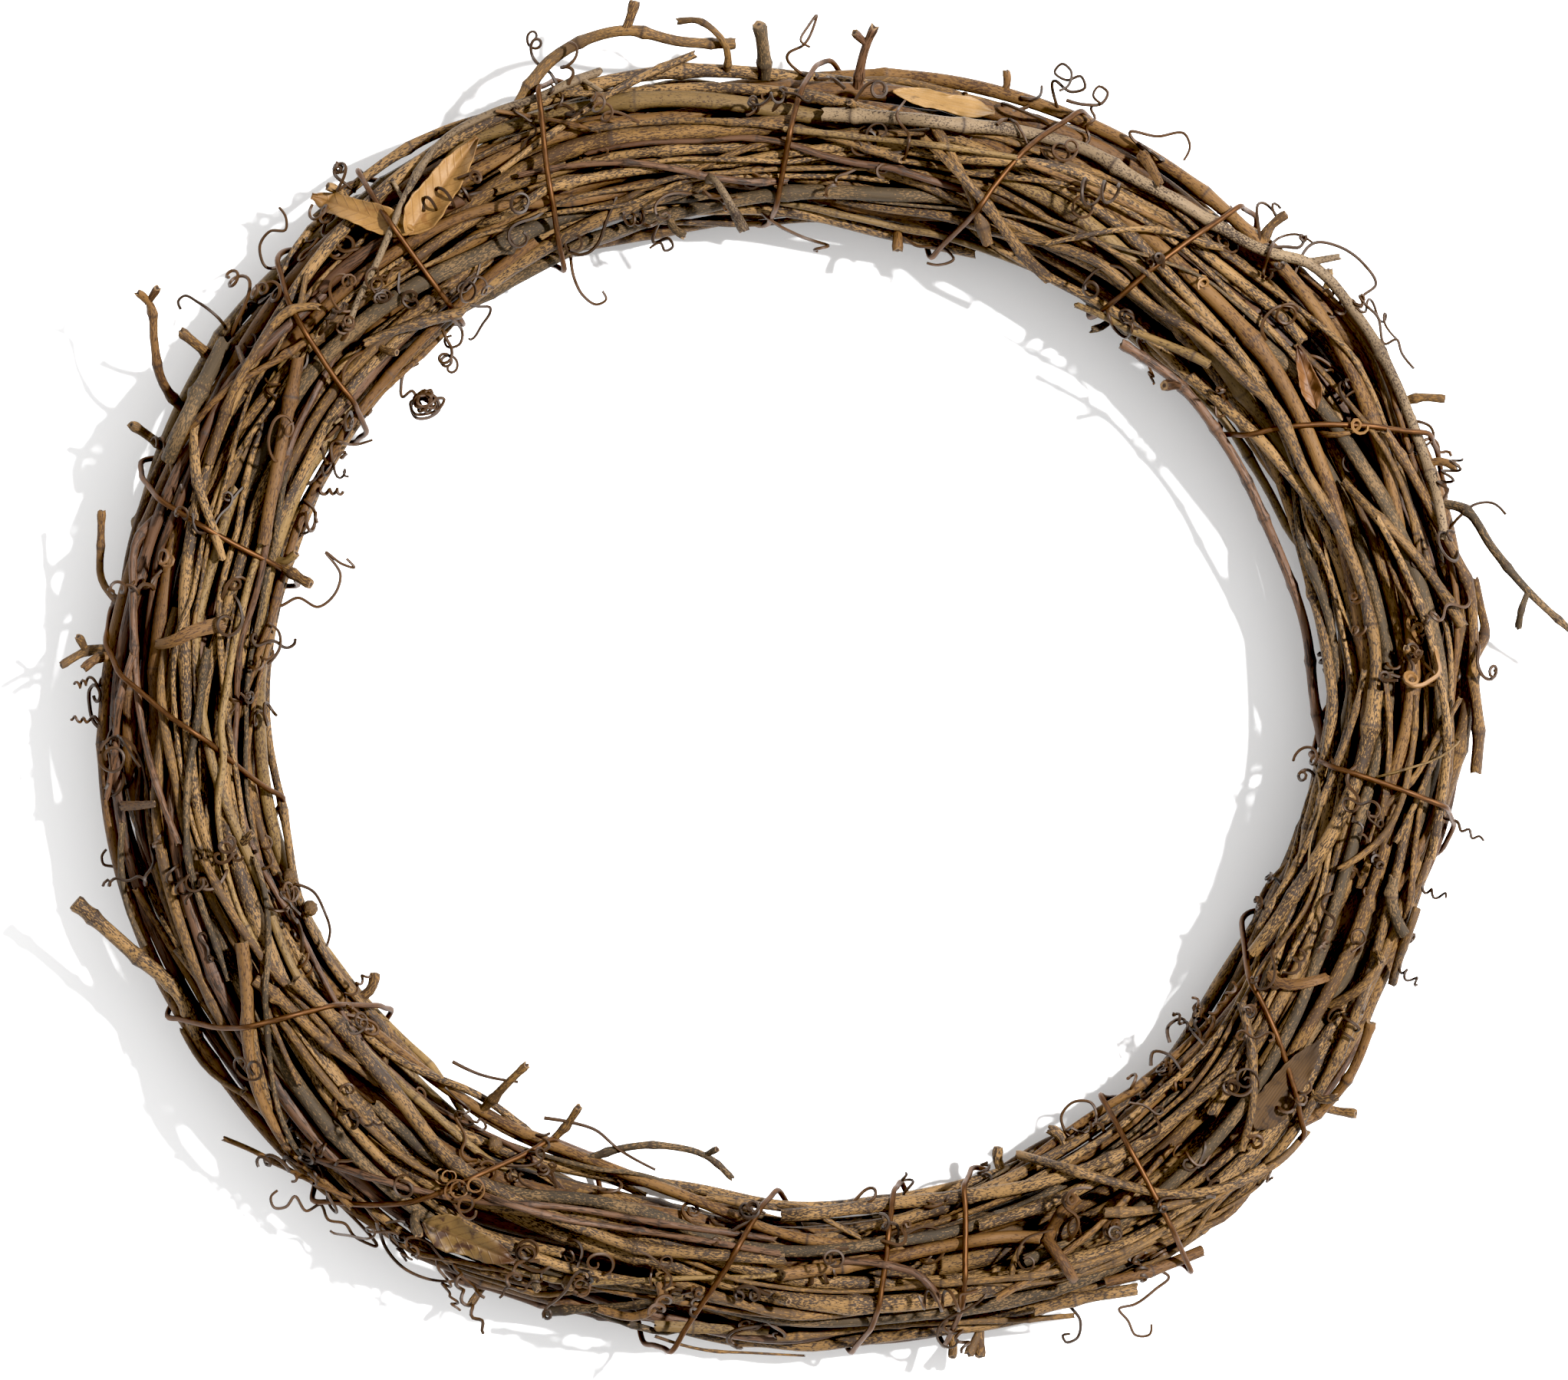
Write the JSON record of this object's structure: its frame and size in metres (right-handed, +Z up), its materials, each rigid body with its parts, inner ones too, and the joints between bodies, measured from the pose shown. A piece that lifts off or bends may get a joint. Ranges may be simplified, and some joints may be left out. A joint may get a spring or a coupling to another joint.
{
  "type": "grapevine wreath",
  "caption": "Ring of twisted grapevine canes bound round with thin brown wire, with loose twigs, curly tendrils and a few dried leaves, open in the middle",
  "frame": {"origin": "centre of the footprint, at the height of the surface that the wreath lies on", "axes": "+Z is up through the hole, out of the face that shows; +Y is towards the top of the wreath as hung; +X is to its right seen from the front"},
  "size_m": [0.3964, 0.3528, 0.0454],
  "materials": {
    "wire_paint": "dark brown paper or enamel on thin wire",
    "dry_leaf": "dried leaf, tan to brown, matt",
    "mottled_bark": "dry bark, tan with grey-brown flecks",
    "brown_bark": "dry bark, warm brown, matt",
    "tan_bark": "dry bark, orange-tan, matt",
    "grey_bark": "weathered bark, grey-brown, matt",
    "reddish_bark": "smooth bark, reddish brown, slight sheen",
    "straw_bark": "smooth young stem, pale straw"
  },
  "bodies": {
    "root": {"binding_wire": "wire_paint", "blotched_leaf": "dry_leaf", "brown_leaf": "dry_leaf", "cane_01": "mottled_bark", "cane_02": "brown_bark", "cane_03": "tan_bark", "cane_04": "mottled_bark", "cane_05": "grey_bark", "cane_06": "brown_bark", "cane_07": "mottled_bark", "cane_08": "reddish_bark", "cane_09": "tan_bark", "cane_10": "brown_bark", "cane_11": "straw_bark", "cane_12": "mottled_bark", "cane_13": "brown_bark", "cane_14": "tan_bark", "cane_15": "mottled_bark", "cane_16": "grey_bark", "cane_17": "brown_bark", "cane_18": "mottled_bark", "cane_19": "reddish_bark", "cane_20": "tan_bark", "cane_21": "brown_bark", "cane_22": "straw_bark", "cane_23": "mottled_bark", "cane_24": "brown_bark", "cane_25": "tan_bark", "cane_26": "mottled_bark", "cane_27": "grey_bark", "cane_28": "brown_bark", "cane_29": "mottled_bark", "cane_30": "reddish_bark", "cane_31": "tan_bark", "cane_32": "brown_bark", "cane_33": "straw_bark", "cane_34": "mottled_bark", "cane_35": "brown_bark", "cane_36": "tan_bark", "cane_37": "mottled_bark", "curled_leaf": "dry_leaf", "folded_leaf": "dry_leaf", "pointed_bract": "dry_leaf", "small_leaf": "dry_leaf"}
  },
  "joints": []
}
